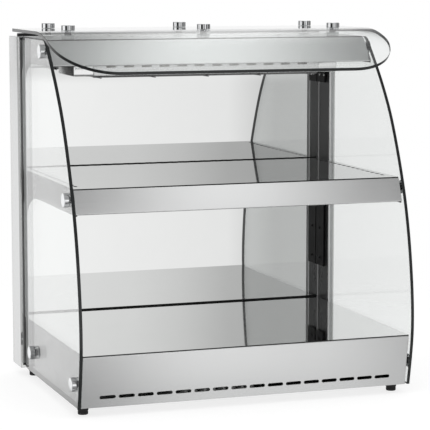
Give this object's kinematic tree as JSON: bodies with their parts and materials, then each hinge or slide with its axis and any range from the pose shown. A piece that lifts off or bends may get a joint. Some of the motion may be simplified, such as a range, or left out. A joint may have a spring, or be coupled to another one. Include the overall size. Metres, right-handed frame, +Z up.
{
  "type": "heated food counter",
  "caption": "Open-front two-tier heated food counter for a bench top, with curved side glass, a bent glass visor and a mirrored rear flap.",
  "frame": {"origin": "on the bench, under the middle of the outline of the whole counter", "axes": "+Z up; +Y from the customer towards the operator, square to the mirrored flap; +X to the right of a customer who faces the counter"},
  "size_m": [0.6492, 0.4596, 0.6719],
  "materials": {
    "rubber": "matte",
    "dark_steel": "satin",
    "polished_steel": "polished",
    "brushed_steel": "brushed",
    "chrome": "polished",
    "clear_glass": "polished",
    "mirror": "polished",
    "black_metal": "satin",
    "black_plastic": "matte",
    "element": "heat-stained",
    "quartz": "polished"
  },
  "bodies": {
    "chassis": {"base_heater": "element", "base_pan": "brushed_steel", "base_side_left": "dark_steel", "base_side_right": "dark_steel", "cable_gland": "black_plastic", "foot_front_left": "rubber", "foot_front_right": "rubber", "foot_rear_left": "rubber", "foot_rear_right": "rubber", "front_apron": "brushed_steel", "lamp_end_cap_left": "brushed_steel", "lamp_end_cap_right": "brushed_steel", "lamp_guard": "chrome", "lamp_housing": "brushed_steel", "lower_deck": "polished_steel", "post_left": "polished_steel", "post_right": "polished_steel", "quartz_lamp_front": "quartz", "quartz_lamp_rear": "quartz", "rear_panel": "brushed_steel", "shelf_bracket_left": "dark_steel", "shelf_bracket_right": "dark_steel", "shelf_deck": "polished_steel", "shelf_fascia": "brushed_steel", "shelf_heater": "element", "shelf_underpan": "polished_steel", "side_glass_left": "clear_glass", "side_glass_right": "clear_glass", "standoff_base_front_left": "chrome", "standoff_base_front_right": "chrome", "standoff_base_rear_left": "chrome", "standoff_base_rear_right": "chrome", "standoff_shelf_left": "chrome", "standoff_shelf_right": "chrome", "standoff_top_left": "chrome", "standoff_top_right": "chrome", "switch_housing_left": "black_plastic", "switch_housing_right": "black_plastic", "thermostat_left": "black_plastic", "thermostat_right": "black_plastic", "top_bracket_left": "dark_steel", "top_bracket_right": "dark_steel", "top_cover": "brushed_steel", "top_fascia": "brushed_steel", "top_underpan": "polished_steel", "visor": "clear_glass", "visor_standoff_front_left": "chrome", "visor_standoff_front_middle": "chrome", "visor_standoff_front_right": "chrome", "visor_standoff_rear_left": "chrome", "visor_standoff_rear_middle": "chrome", "visor_standoff_rear_right": "chrome"},
    "flap": {"door_rail": "black_metal", "mirror_pane": "mirror", "door_handle": "brushed_steel"},
    "dial_left": {"thermostat_dial_left": "black_plastic"},
    "dial_right": {"thermostat_dial_right": "black_plastic"},
    "rocker_left": {"switch_rocker_left": "black_plastic"},
    "rocker_right": {"switch_rocker_right": "black_plastic"}
  },
  "joints": [
    {"name": "flap_hinge", "type": "hinge", "parent": "chassis", "child": "flap", "pos_m": [0, 0.221, 0.641], "axis": [1, 0, 0], "range_deg": [0, 95]},
    {"name": "dial_left_turn", "type": "hinge", "parent": "chassis", "child": "dial_left", "pos_m": [-0.235, 0.2065, 0.0645], "axis": [0, -1, 0], "range_deg": [0, 270]},
    {"name": "dial_right_turn", "type": "hinge", "parent": "chassis", "child": "dial_right", "pos_m": [-0.115, 0.2065, 0.0645], "axis": [0, -1, 0], "range_deg": [0, 270]},
    {"name": "rocker_left_tilt", "type": "hinge", "parent": "chassis", "child": "rocker_left", "pos_m": [-0.175, 0.2065, 0.0645], "axis": [1, 0, 0], "range_deg": [-16, 0]},
    {"name": "rocker_right_tilt", "type": "hinge", "parent": "chassis", "child": "rocker_right", "pos_m": [-0.055, 0.2065, 0.0645], "axis": [1, 0, 0], "range_deg": [-16, 0]}
  ]
}
